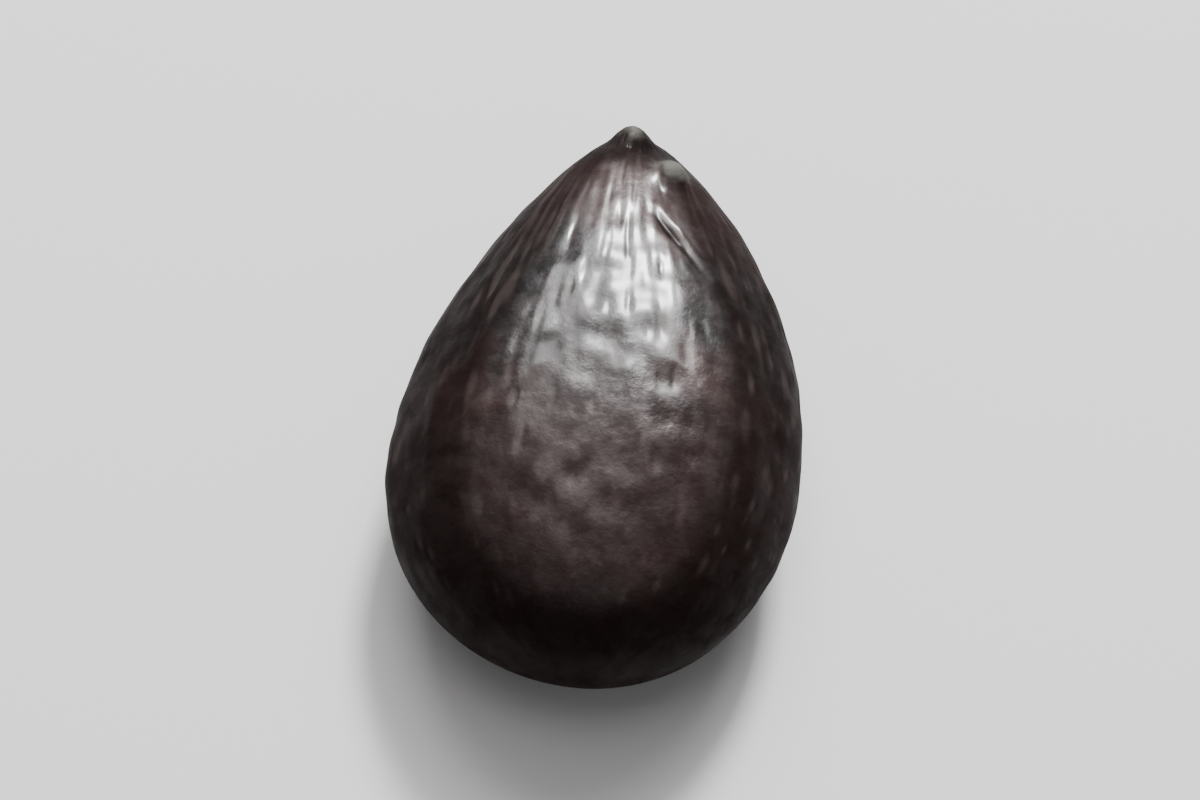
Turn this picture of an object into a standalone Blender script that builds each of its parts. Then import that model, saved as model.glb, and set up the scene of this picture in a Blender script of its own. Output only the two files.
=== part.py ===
"""Seed of Cassia absus, one closed solid that lies flat as it comes to rest.

Run it with blender --background --python part.py, or from Blender's text editor.
Metres, +Z up. The long axis is along Y with the pointed stalk-scar end at +Y, and the width is along X.
The origin is the bottom centre of the seed's bounding box, on the surface that it lies on.

The skin is a grid of meridians from the tip to the round end, as the seed's own rows of pits are.
It starts as a unit sphere, is pressed to a bevelled lens, drawn out to a teardrop and given relief.
"""

import bpy
import numpy as np

MM = 0.001
SMALLEST = 1e-9
FINE_STEPS = 2001

# Overall size: tip to round end, across the widest place, and through both faces
LENGTH = 5.0 * MM
WIDTH = 3.5 * MM
THICKNESS = 1.8 * MM

# Lens: how far out each face stays nearly flat, how crisp its rim is, and its share of the thickness
UPPER_FLAT = 0.50
UPPER_CRISPNESS = 8.0
UPPER_SHARE = 0.54
LOWER_FLAT = 0.40
LOWER_CRISPNESS = 3.2

# Edge of the lens: how high it stands, how square it is, how much squarer at the tip, and how softly
# its two halves meet
EDGE_HEIGHT = 0.34
EDGE_SQUARENESS = 3.4
TIP_SQUARENESS = 1.8
EDGE_SOFTNESS = 0.18

# The slope starts further out by these factors towards the tip and towards the round end. A low
# exponent brings the face to a point at the tip. The faces fall by the dome's share from crown to edge
TIP_STRETCH = 2.4
END_STRETCH = 1.4
TIP_EXPONENT = 1.3
END_EXPONENT = 2.0
FACE_DOME = 0.12

# Teardrop: how strongly each side narrows to the tip, how blunt the tip stays, and its lean to +X
LEFT_NARROWING = 0.85
RIGHT_NARROWING = 0.38
TIP_BLUNTNESS = 0.030
TIP_LEAN = 0.04

# Thickness falls off by a share towards the tip, from this share of the length on: the upper face in
# a nearly straight ramp, the lower one in a curve
THICKEST_AT = 0.62
THINNING = 0.65
UPPER_RAMP = 1.5
LOWER_RAMP = 2.0

# Stalk scar: a lump on the tip with a neck round it, a second lump beside it and a hollow between them
SCAR_RADIUS = 0.14 * MM
LUMP_HEIGHTS = (0.055 * MM, 0.110 * MM)
FIRST_LUMP = (0.00 * MM, -0.04 * MM, 0.13 * MM)
SECOND_LUMP = (0.37 * MM, -0.46 * MM, 0.29 * MM)
NECK_DISTANCE = 0.24 * MM
NECK_WIDTH = 0.08 * MM
NECK_DEPTH = 0.014 * MM
HOLLOW = (0.12 * MM, -0.28 * MM, 0.22 * MM)
HOLLOW_DEPTH = 0.040 * MM

# Furrow below the scar, down the right shoulder, with a fold of the skin along its outer side
FURROW_START = (0.17 * MM, -0.85 * MM)
FURROW_END = (0.96 * MM, -1.80 * MM)
FURROW_DEPTH = 0.022 * MM
FURROW_WIDTH = 0.05 * MM
FURROW_RUN_IN = 0.25
FOLD_OFFSET = 0.09 * MM
FOLD_HEIGHT = 0.016 * MM

# Line along the edge, strongest beside the tip
EDGE_LINE_HEIGHT = 0.016 * MM
EDGE_LINE_WIDTH = 0.10
EDGE_LINE_AT_END = 0.35
EDGE_LINE_REACH = 0.30

# Long, low swells of the skin: waves along the seed, bent and turned from one side to the other
SWELL_HEIGHT = 0.018 * MM
SWELLS_ALONG = 2.3
SWELLS_ROUND = 2.0
SWELL_BEND = 1.1
SWELL_TURN = 0.7
SWELL_SHIFT = 0.6

# Streaks: low ridges that fan out from the tip, this many waves round the seed and few along it
STREAK_HEIGHT = 0.0013 * MM
STREAK_WAVES = 9
STREAKS_ROUND = (10, 25)
STREAK_DRIFT = 3.5
STREAK_SEED = 5

# Rows of pits from tip to round end, two columns of the grid to a row and two rings to a pit
PIT_ROWS = 44
PITS_IN_ROW = 20
PIT_DEPTH = 0.009 * MM
PIT_VARIATION = 0.85
PIT_SEED = 7

# Flat spot under the weight, cut this deep into the rounded underside, and the pit-free rim around it
FLAT_DEPTH = 0.085 * MM
FLAT_RIM = 0.020 * MM

# Dark brown-black skin with a soft gloss
SKIN_COLOUR = (0.020, 0.013, 0.011, 1.0)
SKIN_ROUGHNESS = 0.36


def clear_scene():
    """Remove every object that is already in the scene."""
    for thing in list(bpy.data.objects):
        bpy.data.objects.remove(thing, do_unlink=True)


def bevelled_lens(direction):
    """Press unit directions to a lens with nearly flat faces, sloping margins and a rounded edge.

    The face and the slope meet softly, and both meet the upright edge softly. Towards the tip the slope
    starts further out, so that the face runs on to the beak.
    """
    height = np.abs(direction[..., 2])
    radius = np.sqrt(np.clip(1.0 - height**2, 0.0, 1.0))
    upper = direction[..., 2] >= 0.0
    flat = np.where(upper, UPPER_FLAT, LOWER_FLAT)
    crispness = np.where(upper, UPPER_CRISPNESS, LOWER_CRISPNESS)
    to_tip = direction[..., 1] > 0.0
    stretch = np.where(to_tip, TIP_STRETCH, END_STRETCH)
    exponent = np.where(to_tip, TIP_EXPONENT, END_EXPONENT)
    across, along = np.abs(direction[..., 0]), np.abs(direction[..., 1]) / stretch
    slope_radius = (across**exponent + along**exponent) ** (1.0 / exponent)
    full_height = np.hypot(1.0, EDGE_SOFTNESS) - EDGE_SOFTNESS
    slope_height = (np.hypot(height, EDGE_SOFTNESS) - EDGE_SOFTNESS) / full_height
    rise = (1.0 - flat) / (1.0 - EDGE_HEIGHT * flat)
    run = 1.0 - EDGE_HEIGHT * rise
    slope = run * slope_radius + rise * slope_height
    top = (height**crispness + slope**crispness) ** (1.0 / crispness)
    squareness = EDGE_SQUARENESS + TIP_SQUARENESS * np.clip(direction[..., 1], 0.0, 1.0) ** 2
    reach = (radius**squareness + top**squareness) ** (-1.0 / squareness)
    run_at_edge = run * slope_radius / np.maximum(radius, SMALLEST)
    edge = (1.0 + run_at_edge**squareness) ** (-1.0 / squareness)
    crown = (1.0 + rise**crispness) ** (-1.0 / crispness)
    lens = direction * (reach / edge)[..., None]
    dome = 1.0 - FACE_DOME * (lens[..., 0] ** 2 + lens[..., 1] ** 2)
    lens[..., 2] = direction[..., 2] * reach / crown * dome
    return lens


def teardrop(lens):
    """Narrow and thin the lens to a tip at +Y, more on the left than on the right.

    The width falls with the square root of the distance from the tip, raised to the side's narrowing.
    """
    from_tip = np.clip((1.0 - lens[..., 1]) / 2.0, 0.0, 1.0)
    mean = (RIGHT_NARROWING + LEFT_NARROWING) / 2.0
    half_difference = (RIGHT_NARROWING - LEFT_NARROWING) / 2.0
    narrowing = mean + half_difference * np.clip(lens[..., 0], -1.0, 1.0)
    cosine = np.sqrt(1.0 / (2.0 + narrowing))
    widest = 2.0 * cosine * np.sqrt(1.0 - cosine**2) ** (1.0 + narrowing)
    drop = lens.copy()
    drop[..., 0] *= (from_tip + TIP_BLUNTNESS) ** (narrowing / 2.0) / widest
    drop[..., 0] += TIP_LEAN * np.clip(lens[..., 1], 0.0, 1.0) ** 3
    ramp = np.where(lens[..., 2] >= 0.0, UPPER_RAMP, LOWER_RAMP)
    drop[..., 2] *= 1.0 - THINNING * np.clip(1.0 - from_tip / THICKEST_AT, 0.0, 1.0) ** ramp
    return drop


def body(theta, phi):
    """Points of the plain body in metres, at angles theta from the tip and phi round the long axis."""
    across, along, up = np.sin(theta) * np.cos(phi), np.cos(theta), np.sin(theta) * np.sin(phi)
    drop = teardrop(bevelled_lens(np.stack([across, along, up], axis=-1)))
    share = np.where(drop[..., 2] >= 0.0, UPPER_SHARE, 1.0 - UPPER_SHARE)
    drop[..., 0] *= WIDTH / 2.0
    drop[..., 1] *= LENGTH / 2.0
    drop[..., 2] *= share * THICKNESS
    return drop


def even_angles(angles, points, count):
    """Angles at count even steps of arc along a curve that is sampled finely at the given angles."""
    steps = np.linalg.norm(np.diff(points, axis=0), axis=1)
    arc = np.concatenate([[0.0], np.cumsum(steps)])
    return np.interp(np.linspace(0.0, arc[-1], count + 1), arc, angles)


def seed_grid(rings, columns):
    """Angles theta and phi of a grid that is even down the face's middle and round the widest girth."""
    fine = np.linspace(0.0, np.pi, FINE_STEPS)
    theta = even_angles(fine, body(fine, np.full_like(fine, np.pi / 2.0)), rings)
    girth = np.full_like(fine, np.arccos(1.0 - 2.0 * THICKEST_AT))
    phi = even_angles(2.0 * fine, body(girth, 2.0 * fine), columns)[:-1]
    return np.meshgrid(theta, phi, indexing="ij")


def outward(points):
    """Unit normals of the grid, square to its columns, which close round, and to its rings."""
    around = np.roll(points, -1, axis=1) - np.roll(points, 1, axis=1)
    along = np.gradient(points, axis=0)
    normal = np.cross(around, along)
    normal[0] = (0.0, 1.0, 0.0)
    normal[-1] = (0.0, -1.0, 0.0)
    return normal / np.linalg.norm(normal, axis=-1, keepdims=True)


def bell(distance, radius):
    """One at no distance, falling away smoothly past the radius."""
    return np.exp(-((distance / radius) ** 2))


def stalk_scar(from_tip):
    """Height of the beak's two lumps, less the neck round the first and the hollow between them."""
    distance = np.linalg.norm(from_tip - np.array(FIRST_LUMP), axis=-1)
    first = bell(distance, SCAR_RADIUS)
    neck = bell(distance - NECK_DISTANCE, NECK_WIDTH)
    second = bell(np.linalg.norm(from_tip - np.array(SECOND_LUMP), axis=-1), SCAR_RADIUS)
    hollow = bell(np.linalg.norm(from_tip - np.array(HOLLOW), axis=-1), SCAR_RADIUS)
    lumps = LUMP_HEIGHTS[0] * first + LUMP_HEIGHTS[1] * second
    return lumps - NECK_DEPTH * neck - HOLLOW_DEPTH * hollow


def furrow(from_tip, height):
    """Height of the fold less the furrow: two bells across a straight line, fading along it."""
    line = np.array(FURROW_END) - np.array(FURROW_START)
    length = np.linalg.norm(line)
    from_start = from_tip[..., :2] - np.array(FURROW_START)
    along = from_start @ line / length
    across = (from_start[..., 1] * line[0] - from_start[..., 0] * line[1]) / length
    share = np.clip(along / length, 0.0, 1.0)
    fade = np.clip(share / FURROW_RUN_IN, 0.0, 1.0) * (1.0 - share)
    fold = FOLD_HEIGHT * bell(across - FOLD_OFFSET, FURROW_WIDTH)
    groove = FURROW_DEPTH * bell(across, FURROW_WIDTH)
    return (fold - groove) * fade * (height > 0.0)


def edge_line(from_tip, height):
    """Height of the line along the edge: a bell over the edge's level that fades from the tip on."""
    fade = np.exp(from_tip[..., 1] / (EDGE_LINE_REACH * LENGTH))
    strength = EDGE_LINE_AT_END + (1.0 - EDGE_LINE_AT_END) * fade
    return EDGE_LINE_HEIGHT * strength * bell(height, EDGE_LINE_WIDTH)


def swells(theta, phi):
    """Height of the long, low swells, a product of slow waves along and round the seed."""
    along = np.sin(SWELLS_ALONG * theta + SWELL_BEND * np.cos(phi) + SWELL_SHIFT)
    round_axis = np.cos(SWELLS_ROUND * phi + SWELL_TURN * theta)
    return SWELL_HEIGHT * along * round_axis * np.sin(theta)


def streaks(shape):
    """Height of the streaks: a sum of waves, many round the seed and few from tip to round end."""
    random = np.random.default_rng(STREAK_SEED)
    round_seed = random.integers(*STREAKS_ROUND, STREAK_WAVES)
    drift = random.uniform(-STREAK_DRIFT, STREAK_DRIFT, STREAK_WAVES)
    shift = random.uniform(0.0, 2.0 * np.pi, STREAK_WAVES)
    down = np.linspace(0.0, 2.0 * np.pi, shape[0])[:, None, None]
    turn = np.linspace(0.0, 2.0 * np.pi, shape[1], endpoint=False)[None, :, None]
    return STREAK_HEIGHT * np.sin(round_seed * turn + drift * down + shift).sum(axis=-1)


def pits(shape):
    """Depth of the pits: one at each second column and ring, staggered from row to row."""
    ring, column = np.indices(shape)
    is_pit = (column % 2 == 1) & ((ring + column // 2) % 2 == 1)
    table = np.random.default_rng(PIT_SEED).random((PITS_IN_ROW + 2, PIT_ROWS))
    depth = 1.0 - PIT_VARIATION * table[ring // 2, column // 2]
    return -PIT_DEPTH * np.where(is_pit, depth, 0.0)


def skin_points():
    """The finished skin as a grid of points, ring by ring from the tip to the round end, in metres."""
    theta, phi = seed_grid(2 * PITS_IN_ROW, 2 * PIT_ROWS)
    plain = body(theta, phi)
    from_tip = plain - plain[0, 0]
    height = np.sin(theta) * np.sin(phi)
    floor = plain[..., 2].min() + FLAT_DEPTH
    clear_of_floor = np.clip((plain[..., 2] - floor) / FLAT_RIM, 0.0, 1.0)
    room = np.sin(theta) ** 2
    raised = stalk_scar(from_tip) + furrow(from_tip, height) + edge_line(from_tip, height)
    raised += swells(theta, phi) + (streaks(theta.shape) + pits(theta.shape)) * room
    skin = plain + outward(plain) * (raised * clear_of_floor)[..., None]
    skin[..., 2] = np.maximum(skin[..., 2], floor)
    return skin


def fit_to_size(skin):
    """Scale the skin to the seed's exact size, with its box's bottom centre at the origin."""
    low = skin.min(axis=(0, 1))
    high = skin.max(axis=(0, 1))
    size = np.array([WIDTH, LENGTH, THICKNESS])
    middle = (low + high) / 2.0
    return (skin - middle) * size / (high - low) + np.array([0.0, 0.0, THICKNESS / 2.0])


def grid_faces(rings, columns):
    """Four-sided faces between the rings, and a fan of triangles round each pole.

    Point 0 is the tip, the rings between the poles follow, and the last point is the round end.
    """
    index = 1 + np.arange((rings - 1) * columns).reshape(rings - 1, columns)
    beside = np.roll(index, -1, axis=1)
    quads = np.stack([index[:-1], beside[:-1], beside[1:], index[1:]], axis=-1).reshape(-1, 4)
    tip_fan = np.stack([np.zeros_like(index[0]), beside[0], index[0]], axis=-1)
    end_fan = np.stack([np.full_like(index[0], index[-1, -1] + 1), index[-1], beside[-1]], axis=-1)
    return tip_fan.tolist() + quads.tolist() + end_fan.tolist()


def seed_coat():
    """Soft-gloss brown-black seed coat."""
    material = bpy.data.materials.new("seed_coat")
    material.use_nodes = True
    shader = material.node_tree.nodes["Principled BSDF"]
    shader.inputs["Base Color"].default_value = SKIN_COLOUR
    shader.inputs["Roughness"].default_value = SKIN_ROUGHNESS
    shader.inputs["Metallic"].default_value = 0.0
    return material


def make_seed():
    """Build the seed's mesh object."""
    skin = fit_to_size(skin_points())
    rings, columns = skin.shape[0] - 1, skin.shape[1]
    points = np.concatenate([skin[0, :1], skin[1:-1].reshape(-1, 3), skin[-1, :1]])
    mesh = bpy.data.meshes.new("seed")
    mesh.from_pydata(points.tolist(), [], grid_faces(rings, columns))
    mesh.shade_smooth()
    mesh.materials.append(seed_coat())
    seed = bpy.data.objects.new("seed", mesh)
    bpy.context.scene.collection.objects.link(seed)


clear_scene()
make_seed()
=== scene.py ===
"""Visual model of one Cassia absus seed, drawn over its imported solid."""

import bpy
import numpy as np
from mathutils import Matrix, Vector


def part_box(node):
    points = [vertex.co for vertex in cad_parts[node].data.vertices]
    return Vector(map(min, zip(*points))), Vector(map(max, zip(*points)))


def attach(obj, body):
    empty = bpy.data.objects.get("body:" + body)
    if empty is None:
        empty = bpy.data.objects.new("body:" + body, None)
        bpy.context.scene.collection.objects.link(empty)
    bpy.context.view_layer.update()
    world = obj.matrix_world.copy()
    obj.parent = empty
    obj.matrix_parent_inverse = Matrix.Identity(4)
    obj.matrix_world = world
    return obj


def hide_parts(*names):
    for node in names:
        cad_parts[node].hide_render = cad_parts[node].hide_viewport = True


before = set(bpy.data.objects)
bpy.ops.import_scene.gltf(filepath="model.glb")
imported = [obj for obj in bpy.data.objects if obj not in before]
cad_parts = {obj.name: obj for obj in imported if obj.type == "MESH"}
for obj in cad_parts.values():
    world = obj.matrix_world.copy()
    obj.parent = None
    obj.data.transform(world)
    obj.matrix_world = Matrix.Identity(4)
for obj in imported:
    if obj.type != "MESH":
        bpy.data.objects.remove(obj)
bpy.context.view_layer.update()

# The seed coat. One hard, glossy, brown-black skin over the whole seed, grown as a single piece.
# It is a flattened teardrop with bevelled margins, a stalk scar on its beak and rows of small pits.
# The skin is a grid of meridians from the tip to the round end, so the rows of pits follow its lines.

# A millimetre in metres, the least divisor, and the samples on a curve before it is cut in even steps
MM = 0.001
SMALLEST = 1e-9
FINE_STEPS = 2001

# The seed's box, which sets its size and its place
SEED_LOW, SEED_HIGH = (np.array(corner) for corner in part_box("seed"))
WIDTH, LENGTH, THICKNESS = SEED_HIGH - SEED_LOW

# Lens: how far out each face stays nearly flat, how crisp its rim is, and the upper one's share of the
# thickness
UPPER_FLAT = 0.50
UPPER_CRISPNESS = 8.0
UPPER_SHARE = 0.54
LOWER_FLAT = 0.40
LOWER_CRISPNESS = 3.2

# Edge of the lens: how high it stands, how square it is, how much squarer at the tip, and how softly
# its two halves meet
EDGE_HEIGHT = 0.34
EDGE_SQUARENESS = 3.4
TIP_SQUARENESS = 1.8
EDGE_SOFTNESS = 0.18

# The slope starts further out by these factors towards the tip and towards the round end. A low
# exponent brings the face to a point at the tip. The faces fall by the dome's share from crown to edge
TIP_STRETCH = 2.4
END_STRETCH = 1.4
TIP_EXPONENT = 1.3
END_EXPONENT = 2.0
FACE_DOME = 0.12

# Teardrop: how strongly each side narrows to the tip, how blunt the tip stays, and its lean to +X
LEFT_NARROWING = 0.85
RIGHT_NARROWING = 0.38
TIP_BLUNTNESS = 0.030
TIP_LEAN = 0.04

# Thickness falls off by a share towards the tip, from this share of the length on: the upper face in
# a nearly straight ramp, the lower one in a curve
THICKEST_AT = 0.62
THINNING = 0.65
UPPER_RAMP = 1.5
LOWER_RAMP = 2.0

# Flat spot under the weight, cut this deep into the rounded underside, and the pit-free rim around it
FLAT_DEPTH = 0.085 * MM
FLAT_RIM = 0.020 * MM


def bevelled_lens(direction):
    """Press unit directions to a lens with nearly flat faces, sloping margins and a rounded edge.

    Formula: the height (face) and a weighted sum of radius and softened height (slope) join by a power
    mean, which joins the radius (edge) by another. The lens reaches one over that along each direction,
    divided so that its edge and its crown come out at 1. The slope's radius is a power mean of the
    distances across and along, stretched along, and the height falls with the distance squared.
    """
    height = np.abs(direction[..., 2])
    radius = np.sqrt(np.clip(1.0 - height**2, 0.0, 1.0))
    upper = direction[..., 2] >= 0.0
    flat = np.where(upper, UPPER_FLAT, LOWER_FLAT)
    crispness = np.where(upper, UPPER_CRISPNESS, LOWER_CRISPNESS)
    to_tip = direction[..., 1] > 0.0
    stretch = np.where(to_tip, TIP_STRETCH, END_STRETCH)
    exponent = np.where(to_tip, TIP_EXPONENT, END_EXPONENT)
    across, along = np.abs(direction[..., 0]), np.abs(direction[..., 1]) / stretch
    slope_radius = (across**exponent + along**exponent) ** (1.0 / exponent)
    full_height = np.hypot(1.0, EDGE_SOFTNESS) - EDGE_SOFTNESS
    slope_height = (np.hypot(height, EDGE_SOFTNESS) - EDGE_SOFTNESS) / full_height
    rise = (1.0 - flat) / (1.0 - EDGE_HEIGHT * flat)
    run = 1.0 - EDGE_HEIGHT * rise
    slope = run * slope_radius + rise * slope_height
    top = (height**crispness + slope**crispness) ** (1.0 / crispness)
    squareness = EDGE_SQUARENESS + TIP_SQUARENESS * np.clip(direction[..., 1], 0.0, 1.0) ** 2
    reach = (radius**squareness + top**squareness) ** (-1.0 / squareness)
    run_at_edge = run * slope_radius / np.maximum(radius, SMALLEST)
    edge = (1.0 + run_at_edge**squareness) ** (-1.0 / squareness)
    crown = (1.0 + rise**crispness) ** (-1.0 / crispness)
    lens = direction * (reach / edge)[..., None]
    dome = 1.0 - FACE_DOME * (lens[..., 0] ** 2 + lens[..., 1] ** 2)
    lens[..., 2] = direction[..., 2] * reach / crown * dome
    return lens


def teardrop(lens):
    """Narrow and thin the lens to a tip at +Y, more on the left than on the right.

    Formula: the width is multiplied by the square root of the distance from the tip, raised to that
    side's narrowing and divided so that the widest place comes out at 1. The thickness is multiplied by
    one less a share of a power of the way up from the thickest place. A cube of the way up from the
    middle leans the tip over.
    """
    from_tip = np.clip((1.0 - lens[..., 1]) / 2.0, 0.0, 1.0)
    mean = (RIGHT_NARROWING + LEFT_NARROWING) / 2.0
    half_difference = (RIGHT_NARROWING - LEFT_NARROWING) / 2.0
    narrowing = mean + half_difference * np.clip(lens[..., 0], -1.0, 1.0)
    cosine = np.sqrt(1.0 / (2.0 + narrowing))
    widest = 2.0 * cosine * np.sqrt(1.0 - cosine**2) ** (1.0 + narrowing)
    drop = lens.copy()
    drop[..., 0] *= (from_tip + TIP_BLUNTNESS) ** (narrowing / 2.0) / widest
    drop[..., 0] += TIP_LEAN * np.clip(lens[..., 1], 0.0, 1.0) ** 3
    ramp = np.where(lens[..., 2] >= 0.0, UPPER_RAMP, LOWER_RAMP)
    drop[..., 2] *= 1.0 - THINNING * np.clip(1.0 - from_tip / THICKEST_AT, 0.0, 1.0) ** ramp
    return drop


def body(theta, phi):
    """Points of the plain body in metres.

    Formula: unit directions from theta (angle from the tip) and phi (angle round the long axis, from +X
    up over the face), pressed, drawn out and multiplied by half the width, half the length and each
    face's share of the thickness.
    """
    across, along, up = np.sin(theta) * np.cos(phi), np.cos(theta), np.sin(theta) * np.sin(phi)
    drop = teardrop(bevelled_lens(np.stack([across, along, up], axis=-1)))
    share = np.where(drop[..., 2] >= 0.0, UPPER_SHARE, 1.0 - UPPER_SHARE)
    drop[..., 0] *= WIDTH / 2.0
    drop[..., 1] *= LENGTH / 2.0
    drop[..., 2] *= share * THICKNESS
    return drop


def even_angles(angles, points, count):
    """Angles at count even steps of arc along a curve, which is sampled finely at the given angles.

    Formula: the arc is the running sum of the lengths between the samples, and it is read backwards.
    """
    steps = np.linalg.norm(np.diff(points, axis=0), axis=1)
    arc = np.concatenate([[0.0], np.cumsum(steps)])
    return np.interp(np.linspace(0.0, arc[-1], count + 1), arc, angles)


def seed_grid(rings, columns):
    """Angles theta and phi of a grid that is even over the face's middle and round the widest girth."""
    fine = np.linspace(0.0, np.pi, FINE_STEPS)
    theta = even_angles(fine, body(fine, np.full_like(fine, np.pi / 2.0)), rings)
    girth = np.full_like(fine, np.arccos(1.0 - 2.0 * THICKEST_AT))
    phi = even_angles(2.0 * fine, body(girth, 2.0 * fine), columns)[:-1]
    return np.meshgrid(theta, phi, indexing="ij")


def outward(points):
    """Unit normals of the grid: the cross product of the steps round the seed and down from the tip."""
    around = np.roll(points, -1, axis=1) - np.roll(points, 1, axis=1)
    along = np.gradient(points, axis=0)
    normal = np.cross(around, along)
    normal[0] = (0.0, 1.0, 0.0)
    normal[-1] = (0.0, -1.0, 0.0)
    return normal / np.linalg.norm(normal, axis=-1, keepdims=True)


def bell(distance, radius):
    """The exponential of minus the square of distance over radius: 1 at no distance, 0 far away."""
    return np.exp(-((distance / radius) ** 2))


# The stalk scar is a pale lump on the tip with a neck round it, a second lump beside it and a hollow
# between them. The skin round the tip is drawn darker and duller as far out as its radius
SCAR_RADIUS = 0.14 * MM
LUMP_HEIGHTS = (0.055 * MM, 0.110 * MM)
FIRST_LUMP = (0.00 * MM, -0.04 * MM, 0.13 * MM)
SECOND_LUMP = (0.37 * MM, -0.46 * MM, 0.29 * MM)
NECK_DISTANCE = 0.24 * MM
NECK_WIDTH = 0.08 * MM
NECK_DEPTH = 0.014 * MM
HOLLOW = (0.12 * MM, -0.28 * MM, 0.22 * MM)
HOLLOW_DEPTH = 0.040 * MM
FIRST_LUMP_PALENESS = 0.70
BEAK_RADIUS = 0.55 * MM


def scar_bells(from_tip):
    """Bells over the distances from the first lump, its neck, the second lump and the hollow."""
    distance = np.linalg.norm(from_tip - np.array(FIRST_LUMP), axis=-1)
    first = bell(distance, SCAR_RADIUS)
    neck = bell(distance - NECK_DISTANCE, NECK_WIDTH)
    second = bell(np.linalg.norm(from_tip - np.array(SECOND_LUMP), axis=-1), SCAR_RADIUS)
    hollow = bell(np.linalg.norm(from_tip - np.array(HOLLOW), axis=-1), SCAR_RADIUS)
    return first, neck, second, hollow


# A furrow leaves the scar down the right shoulder, with a fold of the skin along its outer side
FURROW_START = (0.17 * MM, -0.85 * MM)
FURROW_END = (0.96 * MM, -1.80 * MM)
FURROW_DEPTH = 0.022 * MM
FURROW_WIDTH = 0.05 * MM
FURROW_RUN_IN = 0.25
FOLD_OFFSET = 0.09 * MM
FOLD_HEIGHT = 0.016 * MM
# How strongly the groove joins the beak mask and is painted black: painted shade in the furrow
GROOVE_SHADE = 0.95


def furrow(from_tip, height):
    """Fold and groove, 0 to 1, on the upper face.

    Formula: two bells across a straight line, which rise from its start and fade out to its end.
    """
    line = np.array(FURROW_END) - np.array(FURROW_START)
    length = np.linalg.norm(line)
    from_start = from_tip[..., :2] - np.array(FURROW_START)
    along = from_start @ line / length
    across = (from_start[..., 1] * line[0] - from_start[..., 0] * line[1]) / length
    share = np.clip(along / length, 0.0, 1.0)
    fade = np.clip(share / FURROW_RUN_IN, 0.0, 1.0) * (1.0 - share) * (height > 0.0)
    return bell(across - FOLD_OFFSET, FURROW_WIDTH) * fade, bell(across, FURROW_WIDTH) * fade


# A fine line runs along the whole edge, strongest beside the tip
EDGE_LINE_HEIGHT = 0.016 * MM
EDGE_LINE_WIDTH = 0.06
EDGE_LINE_AT_END = 0.35
EDGE_LINE_REACH = 0.30


def edge_line(from_tip, height):
    """Height of the line: a bell over the level of the edge, fading with the distance from the tip."""
    fade = np.exp(from_tip[..., 1] / (EDGE_LINE_REACH * LENGTH))
    strength = EDGE_LINE_AT_END + (1.0 - EDGE_LINE_AT_END) * fade
    return EDGE_LINE_HEIGHT * strength * bell(height, EDGE_LINE_WIDTH)


# Streaks: low ridges that fan out from the tip, many waves round the seed and few along it
STREAK_HEIGHT = 0.0013 * MM
STREAK_WAVES = 9
STREAKS_ROUND = (10, 25)
STREAK_DRIFT = 3.5
STREAK_SEED = 5


def streaks(shape):
    """Height of the streaks: a sum of sine waves, many round the seed and few from tip to round end."""
    random = np.random.default_rng(STREAK_SEED)
    round_seed = random.integers(*STREAKS_ROUND, STREAK_WAVES)
    drift = random.uniform(-STREAK_DRIFT, STREAK_DRIFT, STREAK_WAVES)
    shift = random.uniform(0.0, 2.0 * np.pi, STREAK_WAVES)
    down = np.linspace(0.0, 2.0 * np.pi, shape[0])[:, None, None]
    turn = np.linspace(0.0, 2.0 * np.pi, shape[1], endpoint=False)[None, :, None]
    return STREAK_HEIGHT * np.sin(round_seed * turn + drift * down + shift).sum(axis=-1)


# Long, low swells, which bend and turn from one side to the other, and smaller dents between them
SWELL_HEIGHT = 0.018 * MM
SWELLS_ALONG = 2.3
SWELLS_ROUND = 2.0
SWELL_BEND = 1.1
SWELL_TURN = 0.7
SWELL_SHIFT = 0.6
DENT_HEIGHT = 0.0012 * MM
DENT_WAVES = 22
DENT_LENGTHS = (0.25 * MM, 0.70 * MM)
DENT_SEED = 11


def swells(theta, phi):
    """Height of the long swells: a product of slow waves along and round the seed."""
    along = np.sin(SWELLS_ALONG * theta + SWELL_BEND * np.cos(phi) + SWELL_SHIFT)
    round_axis = np.cos(SWELLS_ROUND * phi + SWELL_TURN * theta)
    return SWELL_HEIGHT * along * round_axis * np.sin(theta)


def dents(points):
    """Height of the small dents: a sum of plane sine waves of many lengths in seeded directions."""
    random = np.random.default_rng(DENT_SEED)
    way = random.normal(size=(DENT_WAVES, 3))
    way /= np.linalg.norm(way, axis=1, keepdims=True)
    pitch = random.uniform(*DENT_LENGTHS, DENT_WAVES)
    shift = random.uniform(0.0, 2.0 * np.pi, DENT_WAVES)
    phase = np.tensordot(points, (way * 2.0 * np.pi / pitch[:, None]).T, axes=1) + shift
    return DENT_HEIGHT * np.sin(phase).sum(axis=-1)


# Rows of pits from tip to round end, staggered from row to row, with the grid's steps to each of them,
# and how deep the pits are and how much that varies
PIT_ROWS = 44
PITS_IN_ROW = 20
COLUMNS_PER_ROW = 10
RINGS_PER_PIT = 11
PIT_DEPTH = 0.009 * MM
PIT_VARIATION = 0.85
PIT_SEED = 7

# A pit's half width in rows and half length in pits, which is longer over the first pits from the tip,
# how far its size and its place vary, and its lip's share of the bowl. The pits of so many rows and
# places round a point are summed
PIT_HALF_WIDTH = 0.28
PIT_HALF_LENGTH = 0.40
LONGER_AT_TIP = 0.65
LONGER_PITS = 12.0
PIT_SPREAD = 0.45
PIT_WANDER = 0.42
PIT_LIP = 0.30
PIT_NEIGHBOURS = (3, 7)


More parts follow.
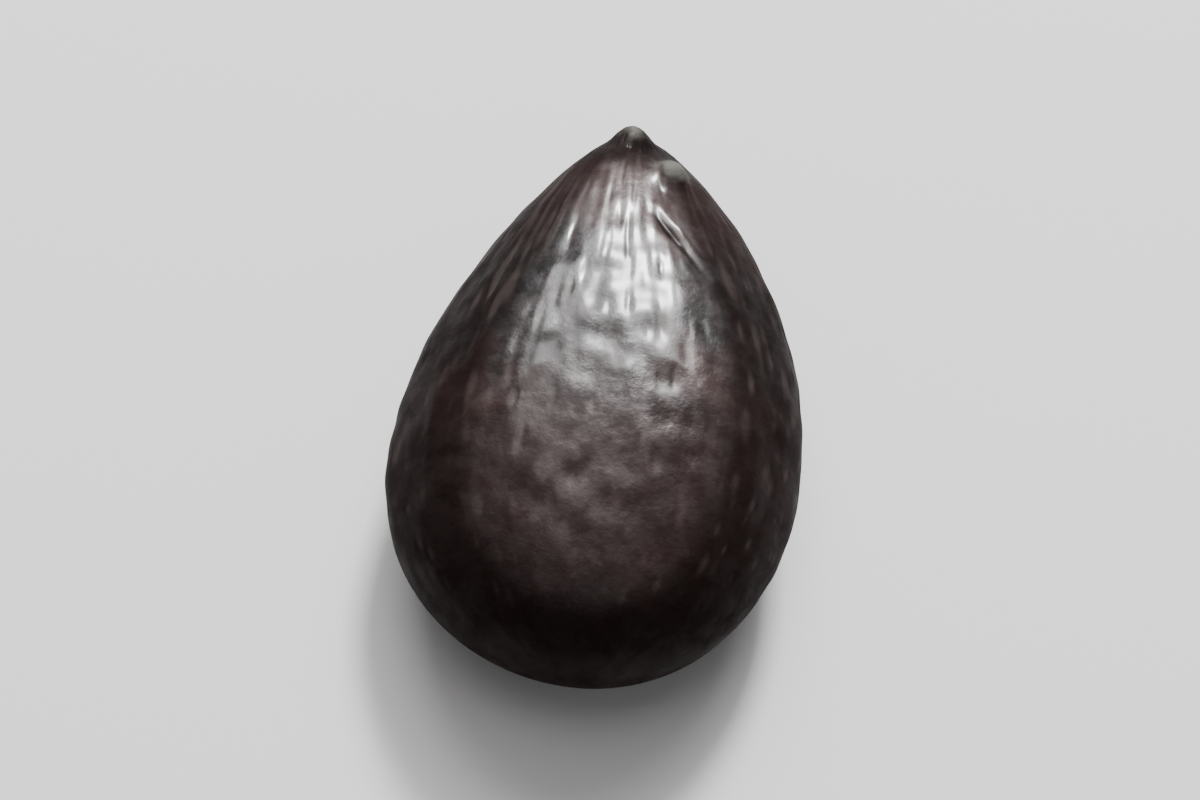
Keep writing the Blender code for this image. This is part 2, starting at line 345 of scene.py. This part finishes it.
def pit_bowls(shape):
    """How deep each grid point lies in its pit, 0 on the skin, 1 in a pit's middle, below 0 on its lip.

    Formula: a sum over the pits nearest the point, a block of rows and places. Each is a bell over the
    distance from the pit's middle, measured in rows across and pits along, times one less a share of
    that distance squared, which raises a faint lip. Towards the tip the pits draw out to grooves.
    """
    random = np.random.default_rng(PIT_SEED)
    table = (PITS_IN_ROW + 2, PIT_ROWS)
    depth = 1.0 - PIT_VARIATION * random.random(table)
    size = 1.0 + PIT_SPREAD * random.uniform(-1.0, 1.0, table)
    wander_across = PIT_WANDER * random.uniform(-1.0, 1.0, table)
    wander_along = PIT_WANDER * random.uniform(-1.0, 1.0, table)
    ring, column = np.indices(shape)
    across = column / COLUMNS_PER_ROW
    along = ring / RINGS_PER_PIT
    half_length = PIT_HALF_LENGTH + LONGER_AT_TIP * np.clip(1.0 - along / LONGER_PITS, 0.0, 1.0)
    bowls = np.zeros(shape)
    rows_beside, places_beside = PIT_NEIGHBOURS[0] // 2, PIT_NEIGHBOURS[1] // 2
    for row_step, place_step in np.ndindex(PIT_NEIGHBOURS):
        row = np.floor(across).astype(int) + row_step - rows_beside
        stagger = np.where(row % 2 == 0, 0.5, 0.0)
        place = np.round(along - stagger).astype(int) + place_step - places_beside
        pick = (np.clip(place, 0, PITS_IN_ROW + 1), row % PIT_ROWS)
        away_across = (across - row - 0.5 - wander_across[pick]) / (PIT_HALF_WIDTH * size[pick])
        away_along = (along - stagger - place - wander_along[pick]) / (half_length * size[pick])
        square = away_across**2 + away_along**2
        bowls += depth[pick] * (1.0 - PIT_LIP * square) * np.exp(-square)
    return bowls


def flatten(field):
    """A grid's values as a list: the tip once, the rings between, and the round end once."""
    rings_between = field[1:-1].reshape((-1,) + field.shape[2:])
    return np.concatenate([field[0, :1], rings_between, field[-1, :1]])


def grid_faces(rings, columns):
    """Four-sided faces between the rings, and a fan of triangles round each pole, all facing out."""
    index = 1 + np.arange((rings - 1) * columns).reshape(rings - 1, columns)
    beside = np.roll(index, -1, axis=1)
    quads = np.stack([index[:-1], beside[:-1], beside[1:], index[1:]], axis=-1).reshape(-1, 4)
    tip_fan = np.stack([np.zeros_like(index[0]), beside[0], index[0]], axis=-1)
    end_fan = np.stack([np.full_like(index[0], index[-1, -1] + 1), index[-1], beside[-1]], axis=-1)
    return tip_fan.tolist() + quads.tolist() + end_fan.tolist()


def make_skin():
    """Build the seed coat's mesh, with its relief and the masks that its material reads.

    Formula: each point of the plain body moves along its normal by the sum of the reliefs. They fade
    out at the flat spot, and the fine ones at both ends too. What lies below the flat spot comes up to
    it, and the whole is scaled to fill the seed's box.
    """
    rings, columns = RINGS_PER_PIT * PITS_IN_ROW, COLUMNS_PER_ROW * PIT_ROWS
    theta, phi = seed_grid(rings, columns)
    plain = body(theta, phi)
    normal = outward(plain)
    from_tip = plain - plain[0, 0]
    height = np.sin(theta) * np.sin(phi)
    flat_level = plain[..., 2].min() + FLAT_DEPTH
    clear_of_flat = np.clip((plain[..., 2] - flat_level) / FLAT_RIM, 0.0, 1.0)
    first_lump, neck, second_lump, hollow = scar_bells(from_tip)
    scar = LUMP_HEIGHTS[0] * first_lump + LUMP_HEIGHTS[1] * second_lump
    scar -= NECK_DEPTH * neck + HOLLOW_DEPTH * hollow
    room = np.sin(theta) ** 2
    bowls = pit_bowls(theta.shape) * room * clear_of_flat
    fold, groove = furrow(from_tip, height)
    raised = scar + FOLD_HEIGHT * fold - FURROW_DEPTH * groove + edge_line(from_tip, height)
    raised += swells(theta, phi) + (streaks(theta.shape) + dents(plain)) * room
    raised = raised * clear_of_flat - PIT_DEPTH * bowls
    skin = plain + normal * raised[..., None]
    skin[..., 2] = np.maximum(skin[..., 2], flat_level)
    low = skin.min(axis=(0, 1))
    high = skin.max(axis=(0, 1))
    skin = (skin - low) * (SEED_HIGH - SEED_LOW) / (high - low) + SEED_LOW

    mesh = bpy.data.meshes.new("seed_skin")
    mesh.from_pydata(flatten(skin).tolist(), [], grid_faces(rings, columns))
    mesh.shade_smooth()
    beak = bell(np.linalg.norm(from_tip, axis=-1), BEAK_RADIUS)
    masks = {
        "pit": np.clip(bowls, 0.0, 1.0),
        "scar": FIRST_LUMP_PALENESS * first_lump + second_lump,
        # The beak mask also carries the groove, which the material darkens as painted shade in the
        # furrow
        "beak": np.clip(beak + GROOVE_SHADE * groove, 0.0, 1.0),
        # Steepness, which the material uses to darken the margins: partly a maroon tone, partly painted
        # shade
        "steep": 1.0 - np.abs(normal[..., 2]),
    }
    for name, field in masks.items():
        layer = mesh.attributes.new(name, "FLOAT", "POINT")
        layer.data.foreach_set("value", flatten(field).astype(np.float32))
    seed = bpy.data.objects.new("seed_skin", mesh)
    bpy.context.scene.collection.objects.link(seed)
    return seed


# Colours of the coat: its black and its brown skin, its dark maroon margin, which is partly a real
# maroon tone and partly painted shade on the steep sides, the dust in its pits and the scar, and the
# tint of the gloss on the black skin and on the brown
BLACK = (0.0048, 0.0034, 0.0034, 1.0)
BROWN = (0.0270, 0.0145, 0.0138, 1.0)
SHADED_MAROON = (0.0068, 0.0037, 0.0035, 1.0)
DUST = (0.092, 0.073, 0.069, 1.0)
SCAR_GREY = (0.095, 0.098, 0.084, 1.0)
BLACK_SKIN_TINT = (1.0, 1.0, 1.0, 1.0)
BROWN_SKIN_TINT = (1.0, 0.86, 0.85, 1.0)

# Patterns of the coat: the size of their patches, the layers of detail and how rough those are, and the
# values of the noise at which a patch starts and is full
BROWN_PATCHES = (1.3 * MM, 3.0, 0.5, 0.38, 0.66)
MOTTLE = (0.16 * MM, 4.0, 0.6, 0.45, 0.75)
DUSTY_PATCHES = (0.5 * MM, 2.0, 0.5, 0.34, 0.62)
WEAR = (0.12 * MM, 3.0, 0.6, 0.30, 0.70)
SHEEN = (0.25 * MM, 4.0, 0.6, 0.30, 0.70)
VARNISH = (0.9 * MM, 2.0, 0.5, 0.35, 0.65)
FILM = (0.20 * MM, 3.0, 0.6, 0.42, 0.60)

# Where each mask starts and is full: the brown end by its place along the seed, the rest by the values
# that the mesh carries
BROWN_END_STEP = (0.6 * MM, -1.0 * MM)
MARGIN_STEP = (0.045, 0.17)
BEAK_STEP = (0.12, 0.55)
PIT_STEP = (0.12, 0.72)
SCAR_STEP = (0.00, 0.80)

# How fully each of them covers what lies under it
BROWN_END_SHARE = 0.75
MOTTLE_SHARE = 0.50
# The margin's share lays dark maroon on the steep sides, partly the coat's own tone and partly painted
# shade
MARGIN_SHADE_SHARE = 0.70
BEAK_SHARE = 0.70
DUST_SHARE = 0.27
SCAR_SHARE = 0.75
WEAR_SHARE = 0.30

# Roughness of the skin from spot to spot, and what dust, dull skin and the scar add to it
SKIN_ROUGHNESS = (0.38, 0.54)
DUST_ROUGHNESS = 0.12
DULL_ROUGHNESS = 0.22
SCAR_ROUGHNESS = 0.05

# Gloss of the skin, the share that a patchy film takes off it, what dull skin loses and the scar gains
SKIN_IOR = 1.50
SKIN_GLOSS = 0.50
FILM_LOSS = 0.55
DULL_LOSS = 0.43
SCAR_GAIN = 0.35

# Varnish: how thin and how full it lies from patch to patch, its roughness, and the share of it that
# dull skin lacks
VARNISH_COVER = (0.30, 0.85)
VARNISH_ROUGHNESS = 0.18
VARNISH_LOSS = 0.90

# Grain: small uneven bumps all over the skin, with the size, detail and roughness of their noise
GRAIN = (0.19 * MM, 4.0, 0.6)
GRAIN_HEIGHT = 0.020 * MM
GRAIN_STRENGTH = 0.8

# The Mix node's sockets for two colours and their mixture, which share their names with other sockets
MIX_COLOURS = (6, 7)
MIX_RESULT = 2


def fill(tree, socket, value):
    """Set an input socket to a number or a colour, or join it to another node's output."""
    if isinstance(value, bpy.types.NodeSocket):
        tree.links.new(value, socket)
    else:
        socket.default_value = value


def place_on_seed(tree):
    """Object coordinates, from the one node that all the patterns share."""
    node = tree.nodes.get("Texture Coordinate") or tree.nodes.new("ShaderNodeTexCoord")
    return node.outputs["Object"]


def mesh_value(tree, name):
    """A value from 0 to 1 that the mesh carries at each of its points."""
    node = tree.nodes.new("ShaderNodeAttribute")
    node.attribute_name = name
    return node.outputs["Fac"]


def noise(tree, size, detail, rough):
    """Smooth noise around 0.5, in patches of about this size."""
    node = tree.nodes.new("ShaderNodeTexNoise")
    fill(tree, node.inputs["Vector"], place_on_seed(tree))
    fill(tree, node.inputs["Scale"], 1.0 / size)
    fill(tree, node.inputs["Detail"], detail)
    fill(tree, node.inputs["Roughness"], rough)
    return node.outputs["Fac"]


def soft_step(tree, value, start, full, low=0.0, high=1.0):
    """Go from low to high, by an S-shaped cubic curve, as the value goes from start to full."""
    node = tree.nodes.new("ShaderNodeMapRange")
    node.interpolation_type = "SMOOTHSTEP"
    fill(tree, node.inputs["Value"], value)
    fill(tree, node.inputs["From Min"], start)
    fill(tree, node.inputs["From Max"], full)
    fill(tree, node.inputs["To Min"], low)
    fill(tree, node.inputs["To Max"], high)
    return node.outputs["Result"]


def patches(tree, pattern, low=0.0, high=1.0):
    """A pattern of the coat, low between its patches and high on them: a soft step over a noise."""
    size, detail, rough, start, full = pattern
    return soft_step(tree, noise(tree, size, detail, rough), start, full, low, high)


def combine(tree, operation, first, second):
    """Two values added, subtracted or multiplied, or the greater of them."""
    node = tree.nodes.new("ShaderNodeMath")
    node.operation = operation
    fill(tree, node.inputs[0], first)
    fill(tree, node.inputs[1], second)
    return node.outputs["Value"]


def mix(tree, share, under, over):
    """The colour under, with this share of the colour over laid on it."""
    node = tree.nodes.new("ShaderNodeMix")
    node.data_type = "RGBA"
    fill(tree, node.inputs["Factor"], share)
    for socket, colour in zip(MIX_COLOURS, (under, over)):
        fill(tree, node.inputs[socket], colour)
    return node.outputs[MIX_RESULT]


def coat_masks(tree):
    """Where the coat is brown, margin, beak, dull, dusty or scar, each from 0 to 1.

    Formula: soft steps over noise, over the place along the seed and over the mesh's own values. Dull
    is the greater of margin and beak, dust lies in the pits of some patches, and wear thins the scar.
    """
    along = tree.nodes.new("ShaderNodeSeparateXYZ")
    fill(tree, along.inputs["Vector"], place_on_seed(tree))
    brown_end = soft_step(tree, along.outputs["Y"], *BROWN_END_STEP, 0.0, BROWN_END_SHARE)
    margin = soft_step(tree, mesh_value(tree, "steep"), *MARGIN_STEP)
    # The beak value holds the darker skin round the tip and the groove's painted shade
    beak = soft_step(tree, mesh_value(tree, "beak"), *BEAK_STEP)
    pit = soft_step(tree, mesh_value(tree, "pit"), *PIT_STEP)
    worn = patches(tree, WEAR, 0.0, WEAR_SHARE)
    unworn = combine(tree, "SUBTRACT", mesh_value(tree, "scar"), worn)
    return {
        "brown": combine(tree, "MAXIMUM", patches(tree, BROWN_PATCHES), brown_end),
        "margin": margin,
        "beak": beak,
        "dull": combine(tree, "MAXIMUM", margin, beak),
        "dust": combine(tree, "MULTIPLY", pit, patches(tree, DUSTY_PATCHES)),
        "scar": soft_step(tree, unworn, *SCAR_STEP),
    }


def coat_colour(tree, mask):
    """Black skin with brown patches, and mottle, margin, beak, dust and scar laid over it in turn. The
    margin's dark maroon is partly painted shade on the steep sides, and the black laid by the beak mask
    is painted shade in the furrow's groove.
    """
    layers = (
        (patches(tree, MOTTLE), MOTTLE_SHARE, BROWN),
        # Dark maroon on the steep margins: partly a real maroon tone, partly painted shade on the sides
        (mask["margin"], MARGIN_SHADE_SHARE, SHADED_MAROON),
        # Black over the beak mask: darker skin round the tip, and painted shade in the furrow's groove
        (mask["beak"], BEAK_SHARE, BLACK),
        (mask["dust"], DUST_SHARE, DUST),
        (mask["scar"], SCAR_SHARE, SCAR_GREY),
    )
    colour = mix(tree, mask["brown"], BLACK, BROWN)
    for cover, share, over in layers:
        colour = mix(tree, combine(tree, "MULTIPLY", cover, share), colour, over)
    return colour


def coat_roughness(tree, mask):
    """The skin's own roughness in patches, plus a share for dust, for dull skin and for the scar."""
    rough = patches(tree, SHEEN, *SKIN_ROUGHNESS)
    additions = {"dust": DUST_ROUGHNESS, "dull": DULL_ROUGHNESS, "scar": SCAR_ROUGHNESS}
    for name, added in additions.items():
        rough = combine(tree, "ADD", rough, combine(tree, "MULTIPLY", mask[name], added))
    return rough


def coat_gloss(tree, mask):
    """The skin's gloss less what dull skin loses, times what the film leaves, plus the scar's gain."""
    undulled = combine(tree, "SUBTRACT", SKIN_GLOSS, combine(tree, "MULTIPLY", mask["dull"], DULL_LOSS))
    gloss = combine(tree, "MULTIPLY", undulled, patches(tree, FILM, 1.0, 1.0 - FILM_LOSS))
    return combine(tree, "ADD", gloss, combine(tree, "MULTIPLY", mask["scar"], SCAR_GAIN))


def varnish_cover(tree, mask):
    """The varnish in patches, times what the scar and the dull skin leave of it."""
    off_scar = combine(tree, "SUBTRACT", 1.0, mask["scar"])
    off_dull = combine(tree, "SUBTRACT", 1.0, combine(tree, "MULTIPLY", mask["dull"], VARNISH_LOSS))
    cover = combine(tree, "MULTIPLY", patches(tree, VARNISH, *VARNISH_COVER), off_scar)
    return combine(tree, "MULTIPLY", cover, off_dull)


def coat_grain(tree):
    """Normals of the skin, tilted by the slopes of a fine noise."""
    bump = tree.nodes.new("ShaderNodeBump")
    fill(tree, bump.inputs["Strength"], GRAIN_STRENGTH)
    fill(tree, bump.inputs["Distance"], GRAIN_HEIGHT)
    fill(tree, bump.inputs["Height"], noise(tree, *GRAIN))
    return bump.outputs["Normal"]


def seed_coat_material():
    """Black coat, browner towards the round end, dull on margins and beak, with a patchy varnish."""
    material = bpy.data.materials.new("seed_coat")
    material.use_nodes = True
    tree = material.node_tree
    coat = tree.nodes["Principled BSDF"].inputs
    mask = coat_masks(tree)
    fill(tree, coat["Base Color"], coat_colour(tree, mask))
    fill(tree, coat["Roughness"], coat_roughness(tree, mask))
    fill(tree, coat["IOR"], SKIN_IOR)
    fill(tree, coat["Specular IOR Level"], coat_gloss(tree, mask))
    fill(tree, coat["Specular Tint"], mix(tree, mask["brown"], BLACK_SKIN_TINT, BROWN_SKIN_TINT))
    fill(tree, coat["Coat Weight"], varnish_cover(tree, mask))
    fill(tree, coat["Coat Roughness"], VARNISH_ROUGHNESS)
    fill(tree, coat["Normal"], coat_grain(tree))
    return material


seed_skin = make_skin()
seed_skin.data.materials.append(seed_coat_material())
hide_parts("seed")
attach(seed_skin, "root")

# The floor. A plain, pale, matt board, far larger than the seed, which lies on it loose.
# It only carries the seed and its shadow, and isn't part of it.

FLOOR_SIDE = 1.2
FLOOR_COLOUR = (0.80, 0.80, 0.80, 1.0)
FLOOR_ROUGHNESS = 0.9


def make_floor():
    """One square face on the level that the seed lies on."""
    half = FLOOR_SIDE / 2.0
    corners = [(-half, -half, 0.0), (half, -half, 0.0), (half, half, 0.0), (-half, half, 0.0)]
    mesh = bpy.data.meshes.new("floor")
    mesh.from_pydata(corners, [], [(0, 1, 2, 3)])
    material = bpy.data.materials.new("floor_board")
    material.use_nodes = True
    shader = material.node_tree.nodes["Principled BSDF"]
    shader.inputs["Base Color"].default_value = FLOOR_COLOUR
    shader.inputs["Roughness"].default_value = FLOOR_ROUGHNESS
    mesh.materials.append(material)
    floor = bpy.data.objects.new("floor", mesh)
    bpy.context.scene.collection.objects.link(floor)
    return floor


make_floor()

# The camera. It looks down on the seed's upper face at the photograph's angle, through a long lens,
# with the tip pointing away from it and leaning to the right.

CAMERA_ELEVATION = np.radians(72.0)
CAMERA_ROLL = np.radians(5.0)
CAMERA_LENS = 100.0
SENSOR_WIDTH = 36.0
FRAME_WIDTH = 10.2 * MM
CAMERA_AIM = Vector((0.0, 0.0, 0.45 * THICKNESS))
CLIP_START = 0.5 * MM
CLIP_END = 10.0


def look_at(thing, place, aim, roll=0.0):
    """Place a camera or lamp, turn its -Z axis to the aim and then roll it about that axis."""
    turn = (aim - place).to_track_quat("-Z", "Y").to_matrix().to_4x4()
    thing.matrix_world = Matrix.Translation(place) @ turn @ Matrix.Rotation(roll, 4, "Z")


def make_camera():
    """A long lens at the distance that gives the frame its width at the seed."""
    data = bpy.data.cameras.new("camera")
    data.lens = CAMERA_LENS
    data.sensor_width = SENSOR_WIDTH
    data.clip_start = CLIP_START
    data.clip_end = CLIP_END
    camera = bpy.data.objects.new("camera", data)
    bpy.context.scene.collection.objects.link(camera)
    back = Vector((0.0, -float(np.cos(CAMERA_ELEVATION)), float(np.sin(CAMERA_ELEVATION))))
    distance = FRAME_WIDTH * CAMERA_LENS / SENSOR_WIDTH
    look_at(camera, CAMERA_AIM + back * distance, CAMERA_AIM, CAMERA_ROLL)
    bpy.context.scene.camera = camera


make_camera()

# The light. A broad soft key lamp above and behind the tip, a small bright one beside it for the white
# streaks of the gloss, a large soft one overhead, a weak one on each side, and a dim pale room. Each
# lamp has a place, two sides, a power and a colour.

LAMPS = {
    "key": ((0.000, 0.084, 0.071), (0.090, 0.045), 0.125, (1.0, 1.0, 1.0)),
    "spark": ((0.012, 0.088, 0.064), (0.021, 0.016), 0.21, (1.0, 1.0, 1.0)),
    "overhead": ((-0.012, 0.040, 0.120), (0.100, 0.100), 0.040, (1.0, 0.95, 0.95)),
    "left_fill": ((-0.110, -0.020, 0.070), (0.060, 0.060), 0.001, (1.0, 1.0, 1.0)),
    "right_fill": ((0.100, 0.010, 0.060), (0.050, 0.050), 0.004, (1.0, 1.0, 1.0)),
}
ROOM_COLOUR = (0.985, 0.98, 1.0, 1.0)
ROOM_STRENGTH = 0.17


def make_lamp(name, place, sides, power, colour):
    """One oblong soft lamp, aimed at the seed."""
    data = bpy.data.lights.new(name, "AREA")
    data.shape = "RECTANGLE"
    data.size, data.size_y = sides
    data.energy = power
    data.color = colour
    lamp = bpy.data.objects.new(name, data)
    bpy.context.scene.collection.objects.link(lamp)
    look_at(lamp, Vector(place), CAMERA_AIM)


def make_room():
    """Even, dim light from all round."""
    world = bpy.data.worlds.new("room")
    world.use_nodes = True
    background = world.node_tree.nodes["Background"]
    background.inputs["Color"].default_value = ROOM_COLOUR
    background.inputs["Strength"].default_value = ROOM_STRENGTH
    bpy.context.scene.world = world


for lamp_name, settings in LAMPS.items():
    make_lamp(lamp_name, *settings)
make_room()
